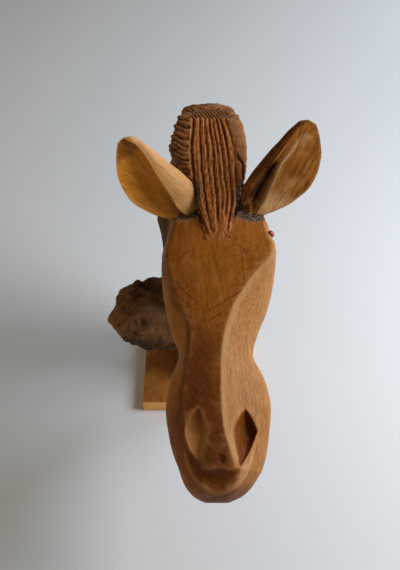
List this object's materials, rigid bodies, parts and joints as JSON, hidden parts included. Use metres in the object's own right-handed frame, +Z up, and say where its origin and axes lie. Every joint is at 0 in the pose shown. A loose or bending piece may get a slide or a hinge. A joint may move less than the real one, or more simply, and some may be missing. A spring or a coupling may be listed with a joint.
{
  "type": "horse head sculpture",
  "caption": "Carved driftwood horse head with a combed forelock, glued leaf-shaped ears and bead eyes, its trunk a natural root with a side burl, standing on a flat wooden board.",
  "frame": {"origin": "centre of the base board's underside, which stands on the table", "axes": "+Z up, -Y the way the horse faces, +X to the horse's own left"},
  "size_m": [0.25, 0.434, 0.4519],
  "materials": {
    "oiled_driftwood": "hand carved, oiled to a low sheen, natural and dark on the trunk and the burl",
    "ear_wood": "carved and oiled, a little lighter than the head",
    "eye_bead": "polished dark red-brown bead",
    "board_wood": "sawn and oiled, with a light front edge"
  },
  "bodies": {
    "root": {"carved_horse_head": "oiled_driftwood", "left_ear": "ear_wood", "right_ear": "ear_wood", "left_eye": "eye_bead", "right_eye": "eye_bead", "base_board": "board_wood"}
  },
  "joints": []
}
